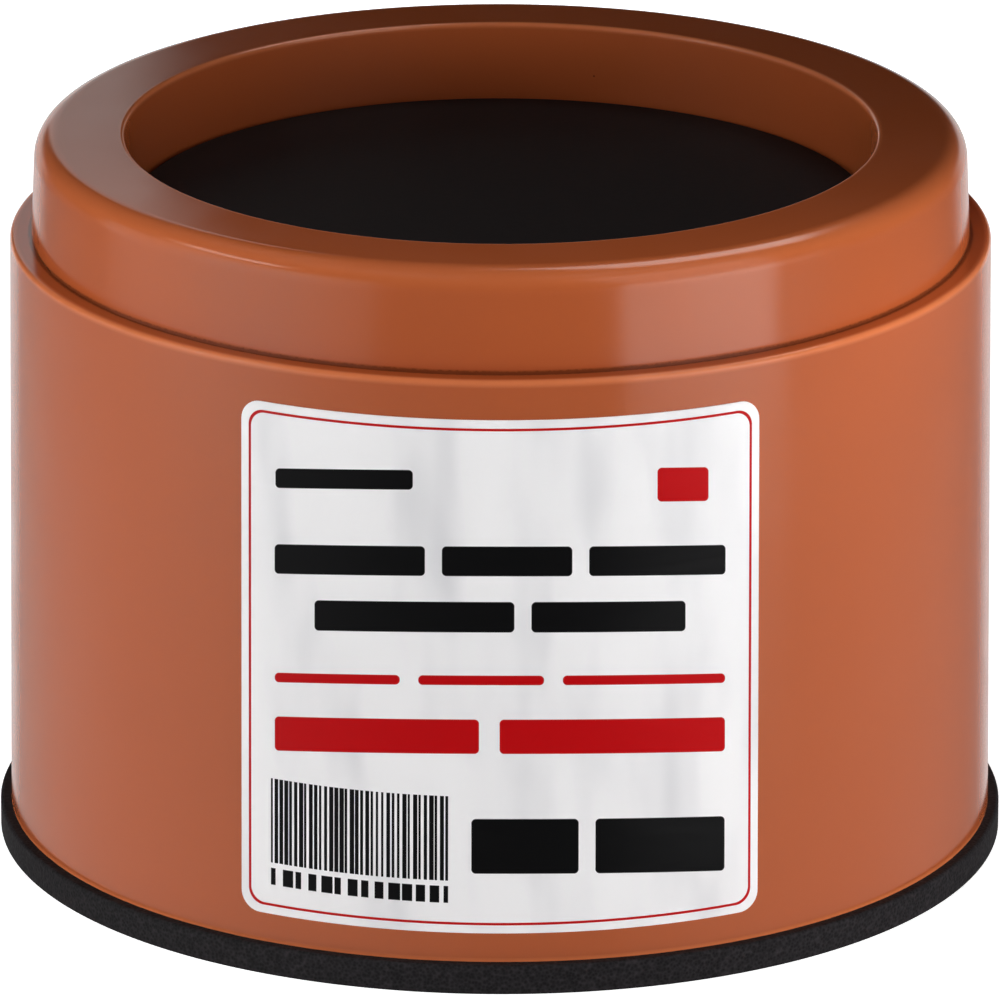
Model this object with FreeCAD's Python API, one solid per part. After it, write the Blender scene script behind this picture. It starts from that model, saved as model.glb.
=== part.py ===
"""Bed riser: a ribbed moulded cup that lifts a furniture leg, with a grip pad, a foam foot and a label.

Units are millimetres and degrees. The riser stands on Z = 0 with its axis on Z, and its label faces -Y.
"""
import FreeCAD, Part
import math
import os
from typing import NamedTuple

# Lift and cup
LIFT = 76.2               # floor to the top of the grip pad, where the leg stands
CUP_RADIUS = 44.0         # bore that takes the leg
CUP_DEPTH = 9.2           # grip pad to rim
CUP_WALL = 3.0            # wall round the bore
CUP_FLOOR = 3.5           # floor under the grip pad
LIP_BEVEL = 0.4           # inner edge of the rim

# Grip pad in the bottom of the cup
PAD_THICKNESS = 3.0
PAD_SEAT_TAPER = 0.4      # how far the cup narrows round the pad, from its top to its seat
PAD_CLEARANCE = 0.2       # play between the pad's edge and its seat

# Collar above the shoulder
COLLAR_HEIGHT = 12.1      # shoulder to rim
RIM_WIDTH = 10.45         # bore to the outside of the rim, measured at its corner
RIM_ROUND = 2.8           # outer edge of the rim
RIM_WALL = 3.0
COLLAR_WALL = 3.0
COLLAR_DRAFT = 2.4

# Skirt below the shoulder
SHOULDER_WIDTH = 2.5      # ledge between collar and skirt
SHOULDER_WALL = 3.0
SHOULDER_BEVEL = 0.7      # upper outer edge
SKIRT_WALL = 3.0
SKIRT_DRAFT = 0.5

# Ribs and hub inside the skirt
RIB_COUNT = 8
RIB_THICKNESS = 2.2       # at the free edge
HUB_RADIUS = 12.0         # inside of the hub at its free edge
HUB_WALL = 2.2            # at the free edge
CORE_DRAFT = 0.5          # taper of ribs and hub towards their free edges

# Foam foot under the skirt
FOOT_THICKNESS = 3.5
FOOT_LEDGE = 1.3          # how far the foot stands out beyond the skirt
FOOT_WIDTH = 11.0         # ring, outside to inside

# Label on the front of the skirt
LABEL_WIDTH = 61.6        # along the curve
LABEL_TOP_MARGIN = 4.6    # shoulder to label
LABEL_BOTTOM_MARGIN = 3.55
LABEL_CORNER = 2.4
LABEL_THICKNESS = 0.15
LABEL_GLUE = 0.03         # adhesive between label and skirt

# Heights
RIM_Z = LIFT + CUP_DEPTH
SEAT_Z = LIFT - PAD_THICKNESS
SHOULDER_Z = RIM_Z - COLLAR_HEIGHT
BASE_Z = FOOT_THICKNESS
CAVITY_TOP_Z = SEAT_Z - CUP_FLOOR

# Radii
SEAT_RADIUS = CUP_RADIUS - PAD_SEAT_TAPER
COLLAR_TOP_RADIUS = CUP_RADIUS + RIM_WIDTH
COLLAR_BASE_RADIUS = COLLAR_TOP_RADIUS + COLLAR_HEIGHT * math.tan(math.radians(COLLAR_DRAFT))
SHOULDER_RADIUS = COLLAR_BASE_RADIUS + SHOULDER_WIDTH


def skirt_radius(z):
    """Outside of the drafted skirt at height z."""
    return SHOULDER_RADIUS + (SHOULDER_Z - z) * math.tan(math.radians(SKIRT_DRAFT))


def collar_radius(z):
    """Outside of the drafted collar at height z."""
    return COLLAR_TOP_RADIUS + (RIM_Z - z) * math.tan(math.radians(COLLAR_DRAFT))


class Corner(NamedTuple):
    """Corner of a turned section, with the round or the bevel that breaks its edge."""

    radius: float
    z: float
    round: float = 0
    bevel: float = 0

    def point(self):
        """Place of the corner in the section's plane."""
        return FreeCAD.Vector(self.radius, 0, self.z)


def broken_edge(before, corner, after):
    """Curve that takes the corner's place between its two neighbours, or None where it stays sharp."""
    at = corner.point()
    to_before = (before.point() - at).normalize()
    to_after = (after.point() - at).normalize()
    if corner.bevel:
        return Part.LineSegment(at + to_before * corner.bevel, at + to_after * corner.bevel)
    if corner.round:
        half_angle = to_before.getAngle(to_after) / 2
        reach = corner.round / math.tan(half_angle)
        depth = corner.round / math.sin(half_angle) - corner.round
        inward = (to_before + to_after).normalize()
        return Part.Arc(at + to_before * reach, at + inward * depth, at + to_after * reach)
    return None


def revolve(corners, angle=360):
    """Solid swept about Z by a closed section of corners."""
    curves = []
    ends = []
    for i, corner in enumerate(corners):
        curve = broken_edge(corners[i - 1], corner, corners[(i + 1) % len(corners)])
        curves.append(curve)
        ends.append((curve.StartPoint, curve.EndPoint) if curve else (corner.point(), corner.point()))
    edges = []
    for i, curve in enumerate(curves):
        edges.append(Part.LineSegment(ends[i - 1][1], ends[i][0]).toShape())
        if curve:
            edges.append(curve.toShape())
    section = Part.Face(Part.Wire(edges))
    return section.revolve(FreeCAD.Vector(0, 0, 0), FreeCAD.Vector(0, 0, 1), angle)


def outer_form():
    """Outside of the moulding with the cup sunk into its top, still solid below."""
    return revolve([
        Corner(0, BASE_Z),
        Corner(skirt_radius(BASE_Z), BASE_Z),
        Corner(SHOULDER_RADIUS, SHOULDER_Z, bevel=SHOULDER_BEVEL),
        Corner(COLLAR_BASE_RADIUS, SHOULDER_Z),
        Corner(COLLAR_TOP_RADIUS, RIM_Z, round=RIM_ROUND),
        Corner(CUP_RADIUS, RIM_Z, bevel=LIP_BEVEL),
        Corner(CUP_RADIUS, LIFT),
        Corner(SEAT_RADIUS, SEAT_Z),
        Corner(0, SEAT_Z),
    ])


def cavity():
    """Room inside the walls, open at the bottom, with a groove that runs up behind the collar."""
    shoulder_under = SHOULDER_Z - SHOULDER_WALL
    rim_under = RIM_Z - RIM_WALL
    groove_inner = CUP_RADIUS + CUP_WALL
    return revolve([
        Corner(0, BASE_Z),
        Corner(skirt_radius(BASE_Z) - SKIRT_WALL, BASE_Z),
        Corner(skirt_radius(shoulder_under) - SKIRT_WALL, shoulder_under),
        Corner(collar_radius(shoulder_under) - COLLAR_WALL, shoulder_under),
        Corner(collar_radius(rim_under) - COLLAR_WALL, rim_under),
        Corner(groove_inner, rim_under),
        Corner(groove_inner, CAVITY_TOP_Z),
        Corner(0, CAVITY_TOP_Z),
    ])


def rib(angle):
    """One radial rib from the axis to the skirt, thinner at its free edge."""
    height = RIM_Z - BASE_Z
    tip = RIB_THICKNESS / 2
    root = tip + height * math.tan(math.radians(CORE_DRAFT))
    outline = [(-tip, BASE_Z), (tip, BASE_Z), (root, RIM_Z), (-root, RIM_Z), (-tip, BASE_Z)]
    section = Part.Face(Part.makePolygon([FreeCAD.Vector(0, y, z) for y, z in outline]))
    plate = section.extrude(FreeCAD.Vector(skirt_radius(BASE_Z), 0, 0))
    plate.rotate(FreeCAD.Vector(0, 0, 0), FreeCAD.Vector(0, 0, 1), angle)
    return plate


def webs():
    """Ribs and hub together, with the hub open through its middle."""
    taper = (RIM_Z - BASE_Z) * math.tan(math.radians(CORE_DRAFT))
    outer = HUB_RADIUS + HUB_WALL
    hub = revolve([Corner(0, BASE_Z), Corner(outer, BASE_Z), Corner(outer + taper, RIM_Z), Corner(0, RIM_Z)])
    bore = revolve([
        Corner(0, BASE_Z),
        Corner(HUB_RADIUS, BASE_Z),
        Corner(HUB_RADIUS - taper, RIM_Z),
        Corner(0, RIM_Z),
    ])
    pitch = 360 / RIB_COUNT
    ribs = [rib((i + 0.5) * pitch) for i in range(RIB_COUNT)]
    return hub.multiFuse(ribs).cut(bore)


def riser_body():
    """Moulded body: one shell of even walls, cored from below round its ribs and hub."""
    return outer_form().cut(cavity().cut(webs()))


def grip_pad():
    """Disc that lines the bottom of the cup and keeps the leg from sliding."""
    radius = SEAT_RADIUS - PAD_CLEARANCE
    return revolve([Corner(0, SEAT_Z), Corner(radius, SEAT_Z), Corner(radius, LIFT), Corner(0, LIFT)])


def foot_ring():
    """Foam ring glued under the skirt and the outer ends of the ribs."""
    outer = skirt_radius(BASE_Z) + FOOT_LEDGE
    inner = outer - FOOT_WIDTH
    return revolve([Corner(inner, 0), Corner(outer, 0), Corner(outer, BASE_Z), Corner(inner, BASE_Z)])


def label():
    """Sticker with round corners, wrapped on the front of the skirt."""
    bottom = BASE_Z + LABEL_BOTTOM_MARGIN
    top = SHOULDER_Z - LABEL_TOP_MARGIN
    back_bottom = skirt_radius(bottom) + LABEL_GLUE
    back_top = skirt_radius(top) + LABEL_GLUE
    angle = math.degrees(LABEL_WIDTH / skirt_radius((bottom + top) / 2))
    sheet = revolve([
        Corner(back_bottom, bottom),
        Corner(back_bottom + LABEL_THICKNESS, bottom),
        Corner(back_top + LABEL_THICKNESS, top),
        Corner(back_top, top),
    ], angle)
    sheet.rotate(FreeCAD.Vector(0, 0, 0), FreeCAD.Vector(0, 0, 1), -90 - angle / 2)
    corners = [edge for edge in sheet.Edges if edge.Length < 2 * LABEL_THICKNESS]
    return sheet.makeFillet(LABEL_CORNER, corners)


def main():
    """Build every piece and write one file for each."""
    os.makedirs("parts", exist_ok=True)
    pieces = {
        "riser_body": riser_body(),
        "grip_pad": grip_pad(),
        "foot_ring": foot_ring(),
        "label": label(),
    }
    for name, shape in pieces.items():
        shape.exportStep(f"parts/{name}.step")
        box = shape.BoundBox
        print(name, shape.isValid(), len(shape.Solids), round(shape.Volume, 1),
              [round(v, 3) for v in (box.XMin, box.YMin, box.ZMin, box.XMax, box.YMax, box.ZMax)])


main()
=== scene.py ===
"""Bed riser on a pale studio floor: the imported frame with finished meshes, materials, light and camera.

Lengths are metres, and a name that ends in _mm holds millimetres. +Z is up, and the label faces -Y.
"""
import logging
import math
from dataclasses import dataclass
from enum import Enum
from typing import Any

import bmesh
import bpy
from mathutils import Matrix, Vector


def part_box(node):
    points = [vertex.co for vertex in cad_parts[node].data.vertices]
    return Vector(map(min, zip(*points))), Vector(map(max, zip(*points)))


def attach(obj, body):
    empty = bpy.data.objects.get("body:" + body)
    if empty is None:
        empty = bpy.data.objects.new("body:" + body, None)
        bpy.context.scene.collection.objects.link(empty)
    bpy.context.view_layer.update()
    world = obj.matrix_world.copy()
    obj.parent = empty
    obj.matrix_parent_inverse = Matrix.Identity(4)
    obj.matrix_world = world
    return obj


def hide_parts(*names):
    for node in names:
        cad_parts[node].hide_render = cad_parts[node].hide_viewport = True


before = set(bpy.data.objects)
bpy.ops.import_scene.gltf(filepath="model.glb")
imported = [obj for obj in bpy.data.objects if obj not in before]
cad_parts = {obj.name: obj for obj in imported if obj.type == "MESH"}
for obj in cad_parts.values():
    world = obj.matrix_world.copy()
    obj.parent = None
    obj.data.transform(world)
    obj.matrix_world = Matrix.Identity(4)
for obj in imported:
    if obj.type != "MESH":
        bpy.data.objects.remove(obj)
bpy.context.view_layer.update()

LOG = logging.getLogger("bed_riser")
MM = 0.001
ROOT_BODY = "root"

# Fineness of the turned meshes
TURN_SEGMENTS = 288
ARC_STEP = math.radians(9)
SHARP_ANGLE = math.radians(35)


class Ink(Enum):
    """Inks of the label's print."""

    BLACK = "black"
    RED = "red"


class LampUse(Enum):
    """What a lamp does for the picture."""

    LIGHT = "light"
    GLOSS = "gloss"


def linear_colour(hex_code: str) -> tuple[float, float, float, float]:
    """Turn an sRGB hex colour into linear light.

    Args:
        hex_code: Six hex digits, red first.

    Returns:
        Linear red, green, blue and an alpha of 1.
    """
    channels = [int(hex_code[i:i + 2], 16) / 255 for i in (0, 2, 4)]
    linear = [c / 12.92 if c <= 0.04045 else ((c + 0.055) / 1.055) ** 2.4 for c in channels]
    return (linear[0], linear[1], linear[2], 1.0)


@dataclass(frozen=True)
class Ramp:
    """Straight change of a value from low to high while another goes from start to end."""

    start: float
    end: float
    low: float = 0.0
    high: float = 1.0


class ShaderGraph:
    """Nodes of a material or a world, built up from none.

    Whatever a node takes is either a plain value or the socket of another node.
    """

    def __init__(self, owner: bpy.types.ID) -> None:
        """Clear the owner's nodes.

        Args:
            owner: Material or world that the nodes belong to.
        """
        owner.use_nodes = True
        self.tree = owner.node_tree
        self.tree.nodes.clear()

    def add(self, kind: str, inputs: dict[int | str, Any], **settings: Any) -> bpy.types.NodeOutputs:
        """Add a node with its settings, socket values and links.

        Args:
            kind: Blender's type name of the node.
            inputs: What each input socket holds, by name or index: an output socket is linked, and a plain
                value is set.
            **settings: Properties of the node itself.

        Returns:
            The node's output sockets.
        """
        node = self.tree.nodes.new(kind)
        for name, value in settings.items():
            setattr(node, name, value)
        for key, value in inputs.items():
            if isinstance(value, bpy.types.NodeSocket):
                self.tree.links.new(value, node.inputs[key])
            else:
                node.inputs[key].default_value = value
        return node.outputs

    def math(self, operation: str, *values: Any, **settings: Any) -> bpy.types.NodeSocket:
        """Work out a number.

        Args:
            operation: Blender's name of the operation.
            *values: Numbers that it takes, in order.
            **settings: Other properties of the node.

        Returns:
            The result.
        """
        return self.add("ShaderNodeMath", dict(enumerate(values)), operation=operation, **settings)[0]

    def vector(self, operation: str, *values: Any) -> bpy.types.NodeSocket:
        """Work out a vector, or a number where the operation gives one.

        Args:
            operation: Blender's name of the operation.
            *values: Vectors that it takes, in order.

        Returns:
            The result.
        """
        result = "Value" if operation in ("LENGTH", "DISTANCE") else "Vector"
        return self.add("ShaderNodeVectorMath", dict(enumerate(values)), operation=operation)[result]

    def ramp(self, value: Any, ramp: Ramp, interpolation: str = "LINEAR") -> bpy.types.NodeSocket:
        """Send a number through a ramp.

        Args:
            value: Number that goes from the ramp's start to its end.
            ramp: The ramp.
            interpolation: Blender's name of the way from low to high.

        Returns:
            The number that comes out.
        """
        return self.add("ShaderNodeMapRange", {
            "Value": value, "From Min": ramp.start, "From Max": ramp.end,
            "To Min": ramp.low, "To Max": ramp.high,
        }, interpolation_type=interpolation)[0]

    def mix(self, share: Any, first: Any, second: Any) -> bpy.types.NodeSocket:
        """Blend two colours.

        Args:
            share: Share of the second colour.
            first: Colour at a share of 0.
            second: Colour at a share of 1.

        Returns:
            The blend.
        """
        # The node has a pair of inputs and an output for each type: 6, 7 and 2 are those for colours
        return self.add("ShaderNodeMix", {0: share, 6: first, 7: second}, data_type="RGBA")[2]

    def noise(self, place: bpy.types.NodeSocket, size: float, detail: float = 2.0,
              roughness: float = 0.5, distortion: float = 0.0) -> bpy.types.NodeSocket:
        """Draw soft random patches.

        Args:
            place: Where the pattern is looked up.
            size: Size of the patches, in the place's unit.
            detail: Number of finer layers.
            roughness: Share of its strength that each layer hands on to the next finer one.
            distortion: How far the patches are twisted.

        Returns:
            The pattern, between 0 and 1.
        """
        return self.add("ShaderNodeTexNoise", {
            "Vector": place, "Scale": 1 / size, "Detail": detail,
            "Roughness": roughness, "Distortion": distortion,
        })[0]


@dataclass(frozen=True)
class PaintedHighlightEdge:
    """Edge with a painted highlight: its radius and height, how far the lightening reaches, and its share."""

    place: Vector
    reach: float
    share: float

    def ramp(self) -> Ramp:
        """Share of the painted highlight's colour by the distance from the edge."""
        return Ramp(self.reach / 5, self.reach, self.share, 0.0)


@dataclass(frozen=True)
class MouldedAbs:
    """Terracotta ABS, injection moulded in a turned and polished steel tool.

    The eye gets one even, deep colour under a clear gloss with fairly sharp reflections, with a painted
    highlight that lightens it along the edges and a line of painted shade in the corner under the collar.
    Close up there are faint rings left by the tool's turning, a slight orange-peel waviness and a few dark
    specks of dust.
    """

    colour: str = "B95C30"
    flow_colour: str = "B3582E"
    speck_colour: str = "6E3620"
    # Colour of the painted shade in the corner under the collar
    corner_shade_colour: str = "5A2A17"
    # Colour of the painted highlight along the edges
    highlight_colour: str = "DE7C4C"
    roughness: Ramp = Ramp(0.3, 0.7, 0.13, 0.2)
    ior: float = 1.53
    flow_mm: float = 38.0
    ring_mm: float = 0.3
    ring_length_mm: float = 25.0
    peel_mm: float = 2.4
    corner_shade_mm: float = 0.5
    corner_shade_grain_mm: float = 0.5
    corner_shade_share: float = 0.65
    smear_mm: float = 9.0
    speck_spacing_mm: float = 11.0
    speck_mm: float = 0.14
    speck_share: float = 0.12
    ring_relief: float = 0.35
    relief_mm: float = 0.006
    relief_strength: float = 0.35

    def specks(self, graph: ShaderGraph, place: bpy.types.NodeSocket) -> bpy.types.NodeSocket:
        """Scatter the specks of dust.

        Args:
            graph: Graph that takes the nodes.
            place: Place on the object.

        Returns:
            1 in a speck and 0 elsewhere.
        """
        cells = graph.add("ShaderNodeTexVoronoi", {
            "Vector": place, "Scale": 1 / (self.speck_spacing_mm * MM),
        })
        chance = graph.add("ShaderNodeSeparateColor", {0: cells["Color"]})[0]
        near = graph.math("LESS_THAN", cells["Distance"], self.speck_mm / self.speck_spacing_mm)
        chosen = graph.math("LESS_THAN", chance, self.speck_share)
        return graph.math("MULTIPLY", near, chosen)

    def corner_shade(
        self, graph: ShaderGraph, place: bpy.types.NodeSocket, from_corner: bpy.types.NodeSocket,
    ) -> bpy.types.NodeSocket:
        """Draw a ragged line of painted shade along a corner, where shade falls.

        Args:
            graph: Graph that takes the nodes.
            place: Place on the object.
            from_corner: Distance from the corner.

        Returns:
            Share of the painted shade's colour.
        """
        reach = self.corner_shade_mm * MM
        ragged = graph.math("MULTIPLY", graph.noise(place, self.corner_shade_grain_mm * MM), reach)
        return graph.add("ShaderNodeMapRange", {
            "Value": from_corner, "From Min": ragged, "From Max": reach,
            "To Min": self.corner_shade_share, "To Max": 0.0,
        })[0]

    def relief(
        self, graph: ShaderGraph, place: bpy.types.NodeSocket, turned: bpy.types.NodeSocket,
    ) -> bpy.types.NodeSocket:
        """Raise the tool's rings and the orange peel.

        Args:
            graph: Graph that takes the nodes.
            place: Place on the object.
            turned: Distance from the axis, height, and place to the right.

        Returns:
            The surface's normal.
        """
        across, along = 1 / (self.ring_mm * MM), 1 / (self.ring_length_mm * MM)
        stretched = graph.add("ShaderNodeMapping", {"Vector": turned, "Scale": (across, across, along)})[0]
        rings = graph.noise(stretched, 1.0)
        peel = graph.noise(place, self.peel_mm * MM)
        return graph.add("ShaderNodeBump", {
            "Strength": self.relief_strength, "Distance": self.relief_mm * MM,
            "Height": graph.math("MULTIPLY_ADD", rings, self.ring_relief, peel),
        })[0]

    def material(self, corner: Vector, edges: list[PaintedHighlightEdge]) -> bpy.types.Material:
        """Build the plastic's material.

        Args:
            corner: Radius and height of the corner under the collar, which gets a line of painted shade.
            edges: Edges that get a painted highlight.

        Returns:
            The material.
        """
        material = bpy.data.materials.new("abs_injection_moulded_terracotta")
        graph = ShaderGraph(material)
        place = graph.add("ShaderNodeTexCoord", {})["Object"]
        right, _, height = graph.add("ShaderNodeSeparateXYZ", {0: place})
        radius = graph.vector("LENGTH", graph.vector("MULTIPLY", place, (1.0, 1.0, 0.0)))
        section = graph.add("ShaderNodeCombineXYZ", {0: radius, 1: height})[0]
        turned = graph.add("ShaderNodeCombineXYZ", {0: radius, 1: height, 2: right})[0]
        flow = graph.noise(place, self.flow_mm * MM, detail=3.0)
        colour = graph.mix(flow, linear_colour(self.colour), linear_colour(self.flow_colour))
        # Painted highlight: the colour lightens towards each of these edges
        for edge in edges:
            from_highlight_edge = graph.vector("DISTANCE", section, (*edge.place, 0.0))
            highlight_share = graph.ramp(from_highlight_edge, edge.ramp(), "SMOOTHSTEP")
            colour = graph.mix(highlight_share, colour, linear_colour(self.highlight_colour))
        colour = graph.mix(self.specks(graph, place), colour, linear_colour(self.speck_colour))
        # Painted shade: a ragged dark line along the corner under the collar
        from_corner = graph.vector("DISTANCE", section, (*corner, 0.0))
        colour = graph.mix(self.corner_shade(graph, place, from_corner), colour, linear_colour(self.corner_shade_colour))
        smear = graph.noise(place, self.smear_mm * MM, detail=5.0)
        shader = graph.add("ShaderNodeBsdfPrincipled", {
            "Base Color": colour, "Roughness": graph.ramp(smear, self.roughness), "IOR": self.ior,
            "Normal": self.relief(graph, place, turned),
        })[0]
        graph.add("ShaderNodeOutputMaterial", {"Surface": shader})
        return material


@dataclass(frozen=True)
class DieCutFoam:
    """Closed-cell foam, cut from sheet with a die.

    The eye gets a dull near-black face with a fine, even pebble of cut cells and a slight grey bloom.
    """

    name: str
    colour: str
    bloom_colour: str
    cell_mm: float
    bloom_mm: float
    relief_mm: float
    relief_strength: float = 0.6
    roughness: float = 0.82
    ior: float = 1.45

    def material(self) -> bpy.types.Material:
        """Build the foam's material.

        Returns:
            The material.
        """
        material = bpy.data.materials.new(self.name)
        graph = ShaderGraph(material)
        place = graph.add("ShaderNodeTexCoord", {})["Object"]
        pattern = graph.add("ShaderNodeTexVoronoi", {"Vector": place, "Scale": 1 / (self.cell_mm * MM)})
        cells = pattern["Distance"]
        bloom = graph.noise(place, self.bloom_mm * MM, detail=6.0, roughness=0.65)
        mottle = graph.math("MULTIPLY", cells, bloom)
        normal = graph.add("ShaderNodeBump", {
            "Strength": self.relief_strength, "Distance": self.relief_mm * MM, "Height": cells,
        })[0]
        shader = graph.add("ShaderNodeBsdfPrincipled", {
            "Base Color": graph.mix(mottle, linear_colour(self.colour), linear_colour(self.bloom_colour)),
            "Roughness": self.roughness, "IOR": self.ior, "Normal": normal,
        })[0]
        graph.add("ShaderNodeOutputMaterial", {"Surface": shader})
        return material


@dataclass(frozen=True)
class PrintField:
    """Rounded field of one ink, in millimetres from the middle of the label, right and up.

    A level field is bent so that it looks straight from the height at which the riser is usually seen.
    """

    ink: Ink
    middle_mm: tuple[float, float]
    size_mm: tuple[float, float]
    corner_mm: float = 0.5
    stripe_mm: float = 0.0
    level: bool = False


@dataclass(frozen=True)
class CoatedPaper:
    """Gloss-coated white paper, offset printed and stuck on by hand.

    The eye gets a white that a painted glow lifts above other whites, with soft upright bands of painted
    shade where the sheet isn't quite flat, a few shallow creases where air was rubbed out, and crisp flat
    ink.
    """

    paper_colour: str = "F8F7F8"
    # Colour of the painted shade in soft upright bands
    shade_colour: str = "DCDCDF"
    # Strength of a painted glow that lifts the paper and its ink above other surfaces
    painted_glow: float = 0.1
    black_colour: str = "0A0A0B"
    red_colour: str = "B8060C"
    roughness: float = 0.32
    ior: float = 1.5
    specular_level: float = 0.12
    edge_mm: float = 0.06
    border_inset_mm: float = 1.0
    border_line_mm: float = 0.32
    level_slope: float = 0.3
    stripe_fill: Ramp = Ramp(0.0, 1.0, 0.42, 0.92)
    band_mm: tuple[float, float] = (9.0, 34.0)
    band_shift: tuple[float, float, float] = (3.0, 1.0, 0.0)
    band_shade: Ramp = Ramp(0.45, 0.75)
    crease_mm: tuple[float, float] = (28.89, 8.125)
    crease_slant: float = math.radians(-38)
    crease_relief_mm: float = 0.16
    fibre_mm: float = 0.5
    fibre_relief: float = 0.004

    def field_mask(
        self, graph: ShaderGraph, place: bpy.types.NodeSocket, item: PrintField,
    ) -> bpy.types.NodeSocket:
        """Draw one rounded field.

        Args:
            graph: Graph that takes the nodes.
            place: Millimetres right and up from the label's middle.
            item: Field to draw.

        Returns:
            1 inside the field and 0 outside.
        """
        core = [max(side / 2 - item.corner_mm, 0.0) for side in item.size_mm]
        folded = graph.vector("ABSOLUTE", graph.vector("SUBTRACT", place, (*item.middle_mm, 0.0)))
        outside = graph.vector("MAXIMUM", graph.vector("SUBTRACT", folded, (*core, 0.0)), (0.0, 0.0, 0.0))
        edge = Ramp(item.corner_mm, item.corner_mm + self.edge_mm, 1.0, 0.0)
        mask = graph.ramp(graph.vector("LENGTH", outside), edge)
        if not item.stripe_mm:
            return mask
        right = graph.add("ShaderNodeSeparateXYZ", {0: place})[0]
        count = graph.math("MULTIPLY", right, 1 / item.stripe_mm)
        number = graph.math("FLOOR", count)
        chance = graph.add("ShaderNodeTexWhiteNoise", {"W": number}, noise_dimensions="1D")["Value"]
        stripe = graph.math("LESS_THAN", graph.math("FRACT", count), graph.ramp(chance, self.stripe_fill))
        return graph.math("MULTIPLY", mask, stripe)

    def border_mask(
        self, graph: ShaderGraph, place: bpy.types.NodeSocket, size_mm: tuple[float, float], corner_mm: float,
    ) -> bpy.types.NodeSocket:
        """Draw the fine line that follows the label's edge.

        Args:
            graph: Graph that takes the nodes.
            place: Millimetres right and up from the label's middle.
            size_mm: Width and height of the label.
            corner_mm: Radius of the label's corners.

        Returns:
            1 on the line and 0 elsewhere.
        """
        masks = []
        for inset in (self.border_inset_mm, self.border_inset_mm + self.border_line_mm):
            inner = (size_mm[0] - 2 * inset, size_mm[1] - 2 * inset)
            sheet = PrintField(Ink.RED, (0.0, 0.0), inner, corner_mm - inset / 2)
            masks.append(self.field_mask(graph, place, sheet))
        return graph.math("SUBTRACT", *masks, use_clamp=True)

    def bare_colour(self, graph: ShaderGraph, place: bpy.types.NodeSocket) -> bpy.types.NodeSocket:
        """Paint shade on the bare paper in soft upright bands.

        Args:
            graph: Graph that takes the nodes.
            place: Millimetres right and up from the label's middle.

        Returns:
            The paper's colour.
        """
        upright = graph.add("ShaderNodeMapping", {
            "Vector": place, "Location": self.band_shift,
            "Scale": (1 / self.band_mm[0], 1 / self.band_mm[1], 1.0),
        })[0]
        # Painted shade: soft upright bands where the sheet isn't quite flat
        band_shade_share = graph.ramp(graph.noise(upright, 1.0), self.band_shade)
        return graph.mix(band_shade_share, linear_colour(self.paper_colour), linear_colour(self.shade_colour))

    def relief(self, graph: ShaderGraph, place: bpy.types.NodeSocket) -> bpy.types.NodeSocket:
        """Raise the sheet's creases and its fibres.

        Args:
            graph: Graph that takes the nodes.
            place: Millimetres right and up from the label's middle.

        Returns:
            The sheet's normal.
        """
        slanted = graph.add("ShaderNodeMapping", {
            "Vector": place, "Rotation": (0.0, 0.0, self.crease_slant),
            "Scale": (1 / self.crease_mm[0], 1 / self.crease_mm[1], 1.0),
        })[0]
        crease = graph.noise(slanted, 1.0, detail=3.0, distortion=0.6)
        fibres = graph.noise(place, self.fibre_mm)
        return graph.add("ShaderNodeBump", {
            "Strength": 1.0, "Distance": self.crease_relief_mm * MM,
            "Height": graph.math("MULTIPLY_ADD", fibres, self.fibre_relief, crease),
        })[0]

    def material(self, wrap_radius: float, middle_height: float, size_mm: tuple[float, float],
                 corner_mm: float, fields: list[PrintField]) -> bpy.types.Material:
        """Build the printed paper's material.

        Args:
            wrap_radius: Radius of the wall that the label is wrapped on.
            middle_height: Height of the label's middle.
            size_mm: Width along the wall and height.
            corner_mm: Radius of the label's corners.
            fields: Printed fields.

        Returns:
            The material.
        """
        material = bpy.data.materials.new("paper_gloss_coated_offset_printed")
        graph = ShaderGraph(material)
        object_place = graph.add("ShaderNodeTexCoord", {})["Object"]
        x, y, z = graph.add("ShaderNodeSeparateXYZ", {0: object_place})
        front = graph.math("SUBTRACT", 0.0, y)
        right = graph.math("MULTIPLY", graph.math("ARCTAN2", x, front), wrap_radius / MM)
        up = graph.math("MULTIPLY", graph.math("SUBTRACT", z, middle_height), 1 / MM)
        place = graph.add("ShaderNodeCombineXYZ", {0: right, 1: up})[0]
        ahead = graph.math("SUBTRACT", wrap_radius, front)
        raised = graph.math("MULTIPLY_ADD", ahead, self.level_slope / MM, up)
        level = graph.add("ShaderNodeCombineXYZ", {0: right, 1: raised})[0]
        masks = {Ink.BLACK: [], Ink.RED: [self.border_mask(graph, place, size_mm, corner_mm)]}
        for item in fields:
            masks[item.ink].append(self.field_mask(graph, level if item.level else place, item))
        colour = self.bare_colour(graph, place)
        for ink, code in ((Ink.BLACK, self.black_colour), (Ink.RED, self.red_colour)):
            cover = masks[ink][0]
            for mask in masks[ink][1:]:
                cover = graph.math("MAXIMUM", cover, mask)
            colour = graph.mix(cover, colour, linear_colour(code))
        shader = graph.add("ShaderNodeBsdfPrincipled", {
            "Base Color": colour, "Roughness": self.roughness, "IOR": self.ior,
            "Normal": self.relief(graph, place), "Specular IOR Level": self.specular_level,
            # Painted glow: the paper and its ink give off a little light of their own colour
            "Emission Color": colour, "Emission Strength": self.painted_glow,
        })[0]
        graph.add("ShaderNodeOutputMaterial", {"Surface": shader})
        return material


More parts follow.
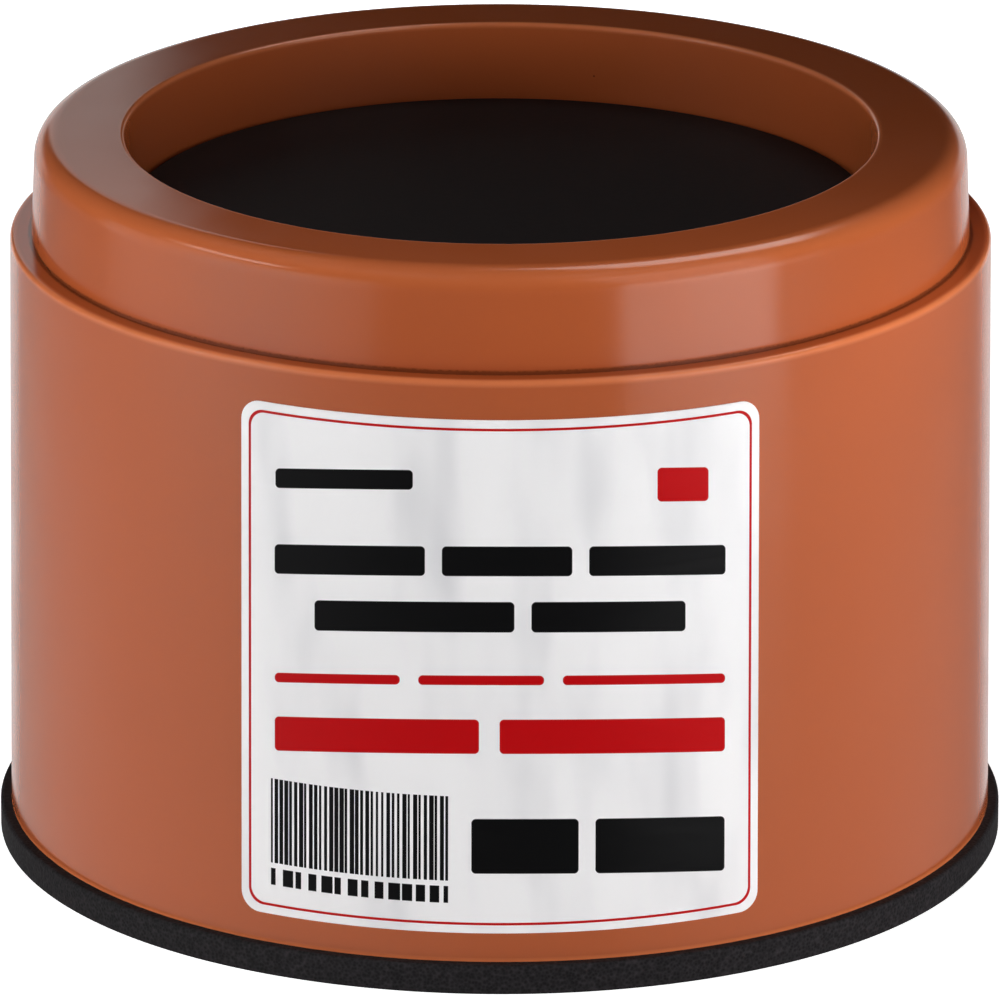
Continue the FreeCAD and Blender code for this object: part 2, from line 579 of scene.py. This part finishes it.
@dataclass(frozen=True)
class PaintedFloor:
    """Matt white painted sweep.

    The eye gets plain white with the object's soft shadow and nothing else. It is clear from below.
    """

    colour: str = "F4F4F4"
    glow: float = 0.9

    def material(self) -> bpy.types.Material:
        """Build the floor's material.

        Returns:
            The material.
        """
        material = bpy.data.materials.new("paint_matt_white")
        graph = ShaderGraph(material)
        diffuse = graph.add("ShaderNodeBsdfDiffuse", {"Color": linear_colour(self.colour)})[0]
        seen = graph.add("ShaderNodeLightPath", {})["Is Camera Ray"]
        strength = graph.math("MULTIPLY", seen, self.glow)
        glow = graph.add("ShaderNodeEmission", {"Color": linear_colour("FFFFFF"), "Strength": strength})[0]
        both = graph.add("ShaderNodeAddShader", {0: diffuse, 1: glow})[0]
        under = graph.add("ShaderNodeNewGeometry", {})["Backfacing"]
        clear = graph.add("ShaderNodeBsdfTransparent", {})[0]
        face = graph.add("ShaderNodeMixShader", {0: under, 1: both, 2: clear})[0]
        graph.add("ShaderNodeOutputMaterial", {"Surface": face})
        return material


@dataclass(frozen=True)
class Corner:
    """Corner of a turned section: distance from the axis, height, and radius of its round."""

    radius: float
    height: float
    round: float = 0.0

    def point(self) -> Vector:
        """Place in the section's plane."""
        return Vector((self.radius, self.height))


def section_points(corners: list[Corner]) -> list[Vector]:
    """Follow a closed section, with an arc at each rounded corner.

    Args:
        corners: Corners in order.

    Returns:
        Points in the section's plane.
    """
    points = []
    for i, corner in enumerate(corners):
        at = corner.point()
        if not corner.round:
            points.append(at)
            continue
        to_before = (corners[i - 1].point() - at).normalized()
        to_after = (corners[(i + 1) % len(corners)].point() - at).normalized()
        half_angle = to_before.angle(to_after) / 2
        centre = at + (to_before + to_after).normalized() * (corner.round / math.sin(half_angle))
        start = at + to_before * (corner.round / math.tan(half_angle)) - centre
        end = at + to_after * (corner.round / math.tan(half_angle)) - centre
        turn = math.atan2(start.cross(end), start.dot(end))
        steps = max(3, math.ceil(abs(turn) / ARC_STEP))
        points.extend(centre + Matrix.Rotation(turn * k / steps, 2) @ start for k in range(steps + 1))
    return points


def add_object(name: str, data: bpy.types.ID) -> bpy.types.Object:
    """Put a mesh, a lamp or a camera into the scene.

    Args:
        name: Name of the object.
        data: What the object shows.

    Returns:
        The object.
    """
    thing = bpy.data.objects.new(name, data)
    bpy.context.scene.collection.objects.link(thing)
    return thing


def mesh_object(name: str, bm: bmesh.types.BMesh) -> bpy.types.Object:
    """Turn a bmesh into an object of the scene, with its faces outwards, and free it.

    Args:
        name: Name of the object and its mesh.
        bm: Geometry in the frame's place.

    Returns:
        The object.
    """
    bmesh.ops.recalc_face_normals(bm, faces=bm.faces)
    mesh = bpy.data.meshes.new(name)
    bm.to_mesh(mesh)
    bm.free()
    return add_object(name, mesh)


def turned_object(name: str, corners: list[Corner], phase: float = 0.0) -> bpy.types.Object:
    """Turn a closed section about the Z axis.

    Args:
        name: Name of the object.
        corners: Corners of the section in order.
        phase: Share of a segment by which the first point is turned, so that a cutter's edges stay off
            those of the piece that it cuts.

    Returns:
        A closed body.
    """
    bm = bmesh.new()
    rings = []
    for point in section_points(corners):
        on_axis = point.x < MM / 1000
        count = 1 if on_axis else TURN_SEGMENTS
        turns = [2 * math.pi * (k + phase) / TURN_SEGMENTS for k in range(count)]
        rings.append([bm.verts.new((point.x * math.sin(a), -point.x * math.cos(a), point.y)) for a in turns])
    for i, ring in enumerate(rings):
        before = rings[i - 1]
        if len(ring) == 1 and len(before) == 1:
            continue
        for k in range(TURN_SEGMENTS):
            after = (k + 1) % TURN_SEGMENTS
            corners_of_face = [before[k % len(before)], before[after % len(before)],
                               ring[after % len(ring)], ring[k % len(ring)]]
            bm.faces.new(list(dict.fromkeys(corners_of_face)))
    return mesh_object(name, bm)


def apply_modifiers(piece: bpy.types.Object) -> None:
    """Bake an object's modifiers into its mesh.

    Args:
        piece: Object with modifiers.
    """
    evaluated = piece.evaluated_get(bpy.context.evaluated_depsgraph_get())
    mesh = bpy.data.meshes.new_from_object(evaluated)
    old = piece.data
    piece.modifiers.clear()
    piece.data = mesh
    mesh.name = piece.name
    bpy.data.meshes.remove(old)


def subtract(piece: bpy.types.Object, cutters: list[bpy.types.Object]) -> None:
    """Cut other objects out of one, and delete them.

    Args:
        piece: Object that is cut.
        cutters: Objects that are taken away from it.
    """
    for cutter in cutters:
        cut = piece.modifiers.new(cutter.name, "BOOLEAN")
        cut.operation = "DIFFERENCE"
        cut.solver = "EXACT"
        cut.object = cutter
    apply_modifiers(piece)
    for cutter in cutters:
        bpy.data.objects.remove(cutter)


def shade(piece: bpy.types.Object, material: bpy.types.Material) -> None:
    """Smooth a piece up to its sharp edges, with flat faces kept flat, and give it its material.

    Args:
        piece: Object to finish.
        material: Material for all of it.
    """
    piece.data.shade_smooth()
    piece.data.set_sharp_from_angle(angle=SHARP_ANGLE)
    normals = piece.modifiers.new("weighted_normals", "WEIGHTED_NORMAL")
    normals.keep_sharp = True
    apply_modifiers(piece)
    piece.data.materials.clear()
    piece.data.materials.append(material)


def take_place(piece: bpy.types.Object, node: str) -> None:
    """Let a piece stand for a node of the frame.

    Args:
        piece: Finished piece.
        node: Node that it replaces.
    """
    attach(piece, ROOT_BODY)
    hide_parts(node)
    LOG.info("%s stands for %s with %d faces", piece.name, node, len(piece.data.polygons))


@dataclass
class MouldedBody:
    """The riser's moulding: skirt, shoulder, collar, rim and cup, with ribs and a hub underneath."""

    base: float
    rim: float
    pad_top: float
    seat: float
    cup_radius: float = 44.0 * MM
    seat_radius: float = 43.6 * MM
    rim_width: float = 10.45 * MM
    collar_height: float = 12.1 * MM
    collar_draft: float = math.radians(2.4)
    shoulder_width: float = 2.5 * MM
    skirt_draft: float = math.radians(0.5)
    wall: float = 3.0 * MM
    cup_floor: float = 3.5 * MM
    rim_round: float = 2.8 * MM
    lip_round: float = 0.45 * MM
    shoulder_round: float = 0.5 * MM
    rib_count: int = 8
    rib_width: float = 2.2 * MM
    hub_radius: float = 12.0 * MM
    hub_wall: float = 2.2 * MM
    core_draft: float = math.radians(0.5)
    overcut: float = 1.0 * MM

    @property
    def shoulder(self) -> float:
        """Height of the ledge between collar and skirt."""
        return self.rim - self.collar_height

    def collar_radius(self, height: float) -> float:
        """Outside of the collar at a height."""
        return self.cup_radius + self.rim_width + (self.rim - height) * math.tan(self.collar_draft)

    def skirt_radius(self, height: float) -> float:
        """Outside of the skirt at a height."""
        top = self.collar_radius(self.shoulder) + self.shoulder_width
        return top + (self.shoulder - height) * math.tan(self.skirt_draft)

    def core_spread(self, height: float) -> float:
        """How far a rib or the hub's wall has spread on each side at a height, by its draft."""
        return (height - self.base) * math.tan(self.core_draft)

    def outside(self) -> bpy.types.Object:
        """Turn the outer form with the blind hole in its hub, still solid round that.

        Returns:
            The form.
        """
        under_cup = self.seat - self.cup_floor
        return turned_object("moulded_body", [
            Corner(0.0, under_cup),
            Corner(self.hub_radius - self.core_spread(under_cup), under_cup),
            Corner(self.hub_radius, self.base),
            Corner(self.skirt_radius(self.base), self.base),
            Corner(self.skirt_radius(self.shoulder), self.shoulder, self.shoulder_round),
            Corner(self.collar_radius(self.shoulder), self.shoulder),
            Corner(self.collar_radius(self.rim), self.rim, self.rim_round),
            Corner(self.cup_radius, self.rim, self.lip_round),
            Corner(self.cup_radius, self.pad_top),
            Corner(self.seat_radius, self.seat),
            Corner(0.0, self.seat),
        ])

    def cavity(self) -> bpy.types.Object:
        """Turn the room between hub and walls, carried on below the base so that it cuts clean.

        Returns:
            The room as a body.
        """
        low = self.base - self.overcut
        under_shoulder = self.shoulder - self.wall
        under_rim = self.rim - self.wall
        under_cup = self.seat - self.cup_floor
        hub = self.hub_radius + self.hub_wall
        return turned_object("cavity", [
            Corner(hub + self.core_spread(low), low),
            Corner(self.skirt_radius(low) - self.wall, low),
            Corner(self.skirt_radius(under_shoulder) - self.wall, under_shoulder),
            Corner(self.collar_radius(under_shoulder) - self.wall, under_shoulder),
            Corner(self.collar_radius(under_rim) - self.wall, under_rim),
            Corner(self.cup_radius + self.wall, under_rim),
            Corner(self.cup_radius + self.wall, under_cup),
            Corner(hub + self.core_spread(under_cup), under_cup),
        ], phase=0.5)

    def rib_pair(self, number: int) -> bpy.types.Object:
        """Make two opposite ribs as one tapered plate across the axis, from wall to wall.

        Args:
            number: Place of the pair round the axis, counted from 0.

        Returns:
            The plate.
        """
        low = self.base - 2 * self.overcut
        turn = Matrix.Rotation(2 * math.pi * (number + 0.5) / self.rib_count, 3, "Z")
        reach = self.skirt_radius(self.base) - self.wall / 2
        bm = bmesh.new()
        verts = []
        for height in (low, self.rim):
            half = self.rib_width / 2 + self.core_spread(height)
            outline = ((-reach, -half), (reach, -half), (reach, half), (-reach, half))
            verts.extend(bm.verts.new(turn @ Vector((x, y, height))) for x, y in outline)
        bmesh.ops.convex_hull(bm, input=verts)
        return mesh_object(f"rib_pair_{number}", bm)

    def painted_highlight_edges(self) -> list[PaintedHighlightEdge]:
        """List the edges that get a painted highlight.

        Returns:
            The shoulder's edge, the swell of the rim, the cup's lip and the skirt's lower edge.
        """
        swell = self.rim_round / 3
        return [
            PaintedHighlightEdge(Vector((self.skirt_radius(self.shoulder), self.shoulder)), 1.0 * MM, 1.0),
            PaintedHighlightEdge(Vector((self.collar_radius(self.rim) - swell, self.rim - swell)), 2.4 * MM, 0.3),
            PaintedHighlightEdge(Vector((self.cup_radius, self.rim)), 0.8 * MM, 1.0),
            PaintedHighlightEdge(Vector((self.skirt_radius(self.base), self.base)), 0.6 * MM, 0.8),
        ]

    def build(self, finish: MouldedAbs) -> bpy.types.Object:
        """Build and dress the moulding.

        Args:
            finish: The plastic.

        Returns:
            The finished piece.
        """
        pockets = self.cavity()
        subtract(pockets, [self.rib_pair(i) for i in range(self.rib_count // 2)])
        body = self.outside()
        subtract(body, [pockets])
        # The corner under the collar gets painted shade, and the listed edges a painted highlight
        corner = Vector((self.collar_radius(self.shoulder), self.shoulder))
        shade(body, finish.material(corner, self.painted_highlight_edges()))
        take_place(body, "riser_body")
        return body


@dataclass
class GripPad:
    """Foam disc in the bottom of the cup."""

    radius: float
    seat: float
    top: float
    edge_round: float = 0.35 * MM

    def build(self, finish: DieCutFoam) -> bpy.types.Object:
        """Build and dress the pad.

        Args:
            finish: The foam.

        Returns:
            The finished piece.
        """
        pad = turned_object("grip_pad_disc", [
            Corner(0.0, self.seat),
            Corner(self.radius, self.seat),
            Corner(self.radius, self.top, self.edge_round),
            Corner(0.0, self.top),
        ])
        shade(pad, finish.material())
        take_place(pad, "grip_pad")
        return pad


@dataclass
class FoamFoot:
    """Foam ring under the skirt."""

    radius: float
    top: float
    width: float = 11.0 * MM
    top_round: float = 0.4 * MM
    floor_round: float = 0.12 * MM

    def build(self, finish: DieCutFoam) -> bpy.types.Object:
        """Build and dress the foot.

        Args:
            finish: The foam.

        Returns:
            The finished piece.
        """
        inner = self.radius - self.width
        foot = turned_object("foam_foot", [
            Corner(inner, 0.0, self.floor_round),
            Corner(self.radius, 0.0, self.floor_round),
            Corner(self.radius, self.top, self.top_round),
            Corner(inner, self.top),
        ])
        shade(foot, finish.material())
        take_place(foot, "foot_ring")
        return foot


@dataclass
class FrontLabel:
    """Printed sticker with round corners, wrapped on the front of the skirt."""

    body: MouldedBody
    bottom: float
    top: float
    half_angle: float
    corner: float = 2.4 * MM
    thickness: float = 0.15 * MM
    glue: float = 0.03 * MM
    columns: int = 96
    corner_steps: int = 10

    @property
    def middle(self) -> float:
        """Height of the label's middle."""
        return (self.bottom + self.top) / 2

    @property
    def wrap_radius(self) -> float:
        """Radius of the label's face at its middle."""
        return self.body.skirt_radius(self.middle) + self.glue + self.thickness

    @property
    def width(self) -> float:
        """Width along the curve."""
        return 2 * self.half_angle * self.wrap_radius

    def fields(self) -> list[PrintField]:
        """Lay out the print as plain bars and stripes.

        Returns:
            The printed fields.
        """
        # Ink, height of the row's middle, height of its bars, and the left and right end of each bar
        rows = [
            (Ink.BLACK, 23.8, 2.3, ((-26.5, -10.0),)),
            (Ink.RED, 23.2, 4.0, ((18.2, 24.4),)),
            (Ink.BLACK, 14.1, 3.5, ((-26.6, -8.6), (-6.6, 8.2), (10.2, 26.6))),
            (Ink.BLACK, 7.4, 3.6, ((-21.6, 1.6), (3.6, 21.6))),
            (Ink.RED, -0.2, 1.1, ((-26.6, -11.5), (-9.3, 5.0), (7.2, 26.6))),
            (Ink.RED, -7.0, 4.1, ((-26.6, -2.4), (0.0, 26.6))),
            (Ink.BLACK, -20.3, 6.6, ((-3.2, 9.0), (11.0, 26.6))),
        ]
        fields = [
            PrintField(ink, ((left + right) / 2, up), (right - left, height), level=True)
            for ink, up, height, spans in rows
            for left, right in spans
        ]
        fields.append(PrintField(Ink.BLACK, (-16.5, -19.4), (21.2, 10.2), 0.02, stripe_mm=0.62))
        fields.append(PrintField(Ink.BLACK, (-16.5, -26.2), (21.2, 2.0), 0.02, stripe_mm=1.6))
        return fields

    def across(self) -> list[float]:
        """Space the columns of points, closer at the label's round corners.

        Returns:
            Distances of the columns from the label's middle, along the curve.
        """
        half = self.width / 2
        turns = [math.pi / 2 * k / self.corner_steps for k in range(self.corner_steps + 1)]
        ends = [self.corner * (1 - math.cos(turn)) for turn in turns]
        straight = self.width - 2 * self.corner
        middle = [self.corner + straight * k / self.columns for k in range(1, self.columns)]
        return [d - half for d in [*ends, *middle, *(self.width - d for d in reversed(ends))]]

    def sheet(self) -> bpy.types.Object:
        """Make the sheet: two wrapped faces and the edge between them.

        Returns:
            The sheet.
        """
        face = self.glue + self.thickness
        bm = bmesh.new()
        columns = []
        for distance in self.across():
            from_end = self.width / 2 - abs(distance)
            rise = max(self.corner - from_end, 0.0)
            inset = self.corner - math.sqrt(max(self.corner ** 2 - rise ** 2, 0.0))
            angle = distance / self.wrap_radius
            low, high = self.bottom + inset, self.top - inset
            column = []
            for height, lift in ((low, face), (high, face), (high, self.glue), (low, self.glue)):
                radius = self.body.skirt_radius(height) + lift
                column.append(bm.verts.new((radius * math.sin(angle), -radius * math.cos(angle), height)))
            columns.append(column)
        for left, right in zip(columns, columns[1:]):
            for k in range(4):
                after = (k + 1) % 4
                bm.faces.new((left[k], right[k], right[after], left[after]))
        bm.faces.new(columns[0])
        bm.faces.new(columns[-1])
        return mesh_object("front_label", bm)

    def build(self, finish: CoatedPaper) -> bpy.types.Object:
        """Build and dress the label.

        Args:
            finish: The paper.

        Returns:
            The finished piece.
        """
        label = self.sheet()
        size_mm = (self.width / MM, (self.top - self.bottom) / MM)
        shade(label, finish.material(self.wrap_radius, self.middle, size_mm, self.corner / MM, self.fields()))
        take_place(label, "label")
        return label


@dataclass(frozen=True)
class Softbox:
    """Rectangular lamp or card that faces the riser.

    Its azimuth counts in degrees from the front, to the right, and it faces the nearest point of a ring.
    """

    name: str
    azimuth: float
    elevation: float
    distance: float
    width: float
    tall: float
    radiance: float
    use: LampUse
    ring: Corner = Corner(0.0, 60.0 * MM)
    spread: float = 180.0

    def build(self) -> bpy.types.Object:
        """Place the lamp.

        Returns:
            The lamp.
        """
        data = bpy.data.lights.new(self.name, "AREA")
        data.shape = "RECTANGLE"
        data.size = self.width
        data.size_y = self.tall
        data.spread = math.radians(self.spread)
        data.energy = self.radiance * math.pi * self.width * self.tall
        lamp = add_object(self.name, data)
        azimuth, elevation = math.radians(self.azimuth), math.radians(self.elevation)
        outward = Vector((math.sin(azimuth), -math.cos(azimuth), 0.0))
        upward = Vector((0.0, 0.0, 1.0))
        away = outward * math.cos(elevation) + upward * math.sin(elevation)
        lamp.location = outward * self.ring.radius + upward * self.ring.height + away * self.distance
        lamp.rotation_euler = away.to_track_quat("Z", "Y").to_euler()
        lamp.visible_camera = False
        lamp.visible_diffuse = self.use is not LampUse.GLOSS
        lamp.visible_glossy = self.use is not LampUse.LIGHT
        return lamp


@dataclass
class Studio:
    """Floor, lamps, surroundings and camera.

    The ramps of the surroundings run over a direction's part to the right, back or up.
    """

    rim: Corner
    ledge: Corner
    camera_distance: float = 1365.2 * MM
    camera_height: float = 502.1 * MM
    camera_pitch: float = math.radians(18.709)
    camera_roll: float = math.radians(0.09)
    focal_px: float = 12205.0
    frame_px: float = 1000.0
    middle_px: float = 500.2
    sensor_mm: float = 36.0
    floor_side: float = 8.0
    floor_drop: float = 0.05 * MM
    left_glow: Ramp = Ramp(0.0, -1.0, 0.3, 0.78)
    right_glow: Ramp = Ramp(0.6, 0.95, 0.0, 0.28)
    ground_haze: Ramp = Ramp(-0.305, -0.272, 1.0, 0.25)
    horizon: Ramp = Ramp(-0.02, 0.02, 1.0, 0.04)
    sweep_sides: Ramp = Ramp(0.8, 0.9, 0.0, 0.8)
    sweep_top: Ramp = Ramp(0.04, 0.12, 1.0, 0.0)

    def softboxes(self) -> list[Softbox]:
        """List the lamps for the light, and the cards that only show in the gloss.

        Returns:
            Softboxes by name, azimuth, elevation, distance, width, height, radiance and use, and some
            with the ring that they face and their spread.
        """
        return [
            Softbox("key_left", -59.0, 2.0, 0.38, 0.22, 0.20, 6.5, LampUse.LIGHT),
            Softbox("key_right", 59.0, 0.5, 0.38, 0.24, 0.17, 8.7, LampUse.LIGHT),
            Softbox("strip_left", -30.0, 65.0, 0.05, 0.06, 0.015, 2.8, LampUse.LIGHT, self.rim),
            Softbox("strip_right", 30.0, 65.0, 0.05, 0.06, 0.015, 3.8, LampUse.LIGHT, self.rim),
            Softbox("strip_ledge", 68.0, 60.0, 0.03, 0.07, 0.008, 0.42, LampUse.LIGHT, self.ledge, 40.0),
            Softbox("fill_back_left", -108.0, 62.0, 0.40, 0.14, 0.11, 4.6, LampUse.LIGHT),
            Softbox("fill_back", 180.0, -2.5, 0.45, 0.5, 0.08, 8.0, LampUse.LIGHT),
            Softbox("overhead", 128.0, 65.5, 0.46, 0.20, 0.24, 3.2, LampUse.GLOSS),
            Softbox("card_right", 49.0, -4.5, 2.0, 1.46, 0.89, 2.0, LampUse.GLOSS),
            Softbox("card_right_high", 49.0, 29.0, 2.0, 1.46, 1.45, 1.0, LampUse.GLOSS),
            Softbox("card_left", -70.0, 2.0, 2.0, 3.36, 1.38, 0.6, LampUse.GLOSS),
            Softbox("card_left_high", -74.0, 31.0, 2.0, 1.0, 0.25, 3.5, LampUse.GLOSS),
            Softbox("card_back_left", -165.3, 20.7, 0.395, 0.09, 0.22, 0.6, LampUse.GLOSS),
        ]

    def floor(self) -> bpy.types.Object:
        """Lay the floor just under the foot.

        Returns:
            The floor.
        """
        half = self.floor_side / 2
        outline = ((-half, -half), (half, -half), (half, half), (-half, half))
        mesh = bpy.data.meshes.new("studio_floor")
        mesh.from_pydata([(x, y, -self.floor_drop) for x, y in outline], [], [range(len(outline))])
        floor = add_object("studio_floor", mesh)
        floor.visible_glossy = False
        floor.data.materials.append(PaintedFloor().material())
        return floor

    def surroundings(self) -> None:
        """Set a world that is white to the camera, and for the gloss a dark room over pale ground."""
        world = bpy.data.worlds.new("studio_room")
        bpy.context.scene.world = world
        graph = ShaderGraph(world)
        towards = graph.add("ShaderNodeTexCoord", {})["Generated"]
        right, back, up = graph.add("ShaderNodeSeparateXYZ", {0: towards})
        ground = graph.math("ADD", graph.ramp(right, self.left_glow), graph.ramp(right, self.right_glow))
        dimmed = graph.math("MULTIPLY", ground, graph.ramp(up, self.ground_haze))
        around = graph.math("MULTIPLY", dimmed, graph.ramp(up, self.horizon))
        sweep = graph.math("MULTIPLY", graph.ramp(back, self.sweep_sides), graph.ramp(up, self.sweep_top))
        room = graph.math("MAXIMUM", around, sweep)
        seen = graph.add("ShaderNodeLightPath", {})["Is Camera Ray"]
        strength = graph.add("ShaderNodeMix", {0: seen, 2: room, 3: 1.0}, data_type="FLOAT")[0]
        white = linear_colour("FFFFFF")
        background = graph.add("ShaderNodeBackground", {"Color": white, "Strength": strength})[0]
        graph.add("ShaderNodeOutputWorld", {"Surface": background})

    def camera(self) -> bpy.types.Object:
        """Set the camera where the photograph was taken from.

        Returns:
            The camera.
        """
        data = bpy.data.cameras.new("photo_camera")
        data.sensor_width = self.sensor_mm
        data.lens = self.focal_px / self.frame_px * self.sensor_mm
        data.shift_x = (self.frame_px / 2 - self.middle_px) / self.frame_px
        camera = add_object("photo_camera", data)
        camera.location = (0.0, -self.camera_distance, self.camera_height)
        tilt = Matrix.Rotation(math.pi / 2 - self.camera_pitch, 3, "X")
        camera.rotation_euler = (tilt @ Matrix.Rotation(self.camera_roll, 3, "Z")).to_euler()
        bpy.context.scene.camera = camera
        return camera

    def build(self) -> None:
        """Set up the whole studio."""
        self.floor()
        self.surroundings()
        for softbox in self.softboxes():
            softbox.build()
        self.camera()
        bpy.context.scene.view_settings.view_transform = "Standard"


# Pressed sheet with a closed skin: an almost even black with a dull sheen
PAD_FOAM = DieCutFoam(
    "eva_foam_skinned_black", "140E0F", "1E1617",
    cell_mm=0.9, bloom_mm=7.0, relief_mm=0.008, roughness=0.6, ior=1.24,
)

# Foam rubber cut through its cells: a grainy edge that scatters most of its gloss
FOOT_FOAM = DieCutFoam(
    "foam_rubber_die_cut_black", "0C0B0C", "423E41",
    cell_mm=0.4, bloom_mm=0.9, relief_mm=0.08, ior=1.33,
)


def main() -> None:
    """Build every piece on the frame, then the studio."""
    logging.basicConfig(level=logging.INFO, format="%(name)s: %(message)s")
    body_low, body_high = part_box("riser_body")
    pad_low, pad_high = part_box("grip_pad")
    foot_low, foot_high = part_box("foot_ring")
    label_low, label_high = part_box("label")
    body = MouldedBody(base=body_low[2], rim=body_high[2], pad_top=pad_high[2], seat=pad_low[2])
    body.build(MouldedAbs())
    GripPad(pad_high[0], pad_low[2], pad_high[2]).build(PAD_FOAM)
    FoamFoot(min(foot_high[0], -foot_low[0]), foot_high[2]).build(FOOT_FOAM)
    half_angle = math.asin(label_high[0] / body.skirt_radius(label_low[2]))
    FrontLabel(body, label_low[2], label_high[2], half_angle).build(CoatedPaper())
    Studio(
        rim=Corner(body.collar_radius(body.rim), body.rim),
        ledge=Corner(body.skirt_radius(body.shoulder), body.shoulder),
    ).build()


if __name__ == "__main__":
    main()
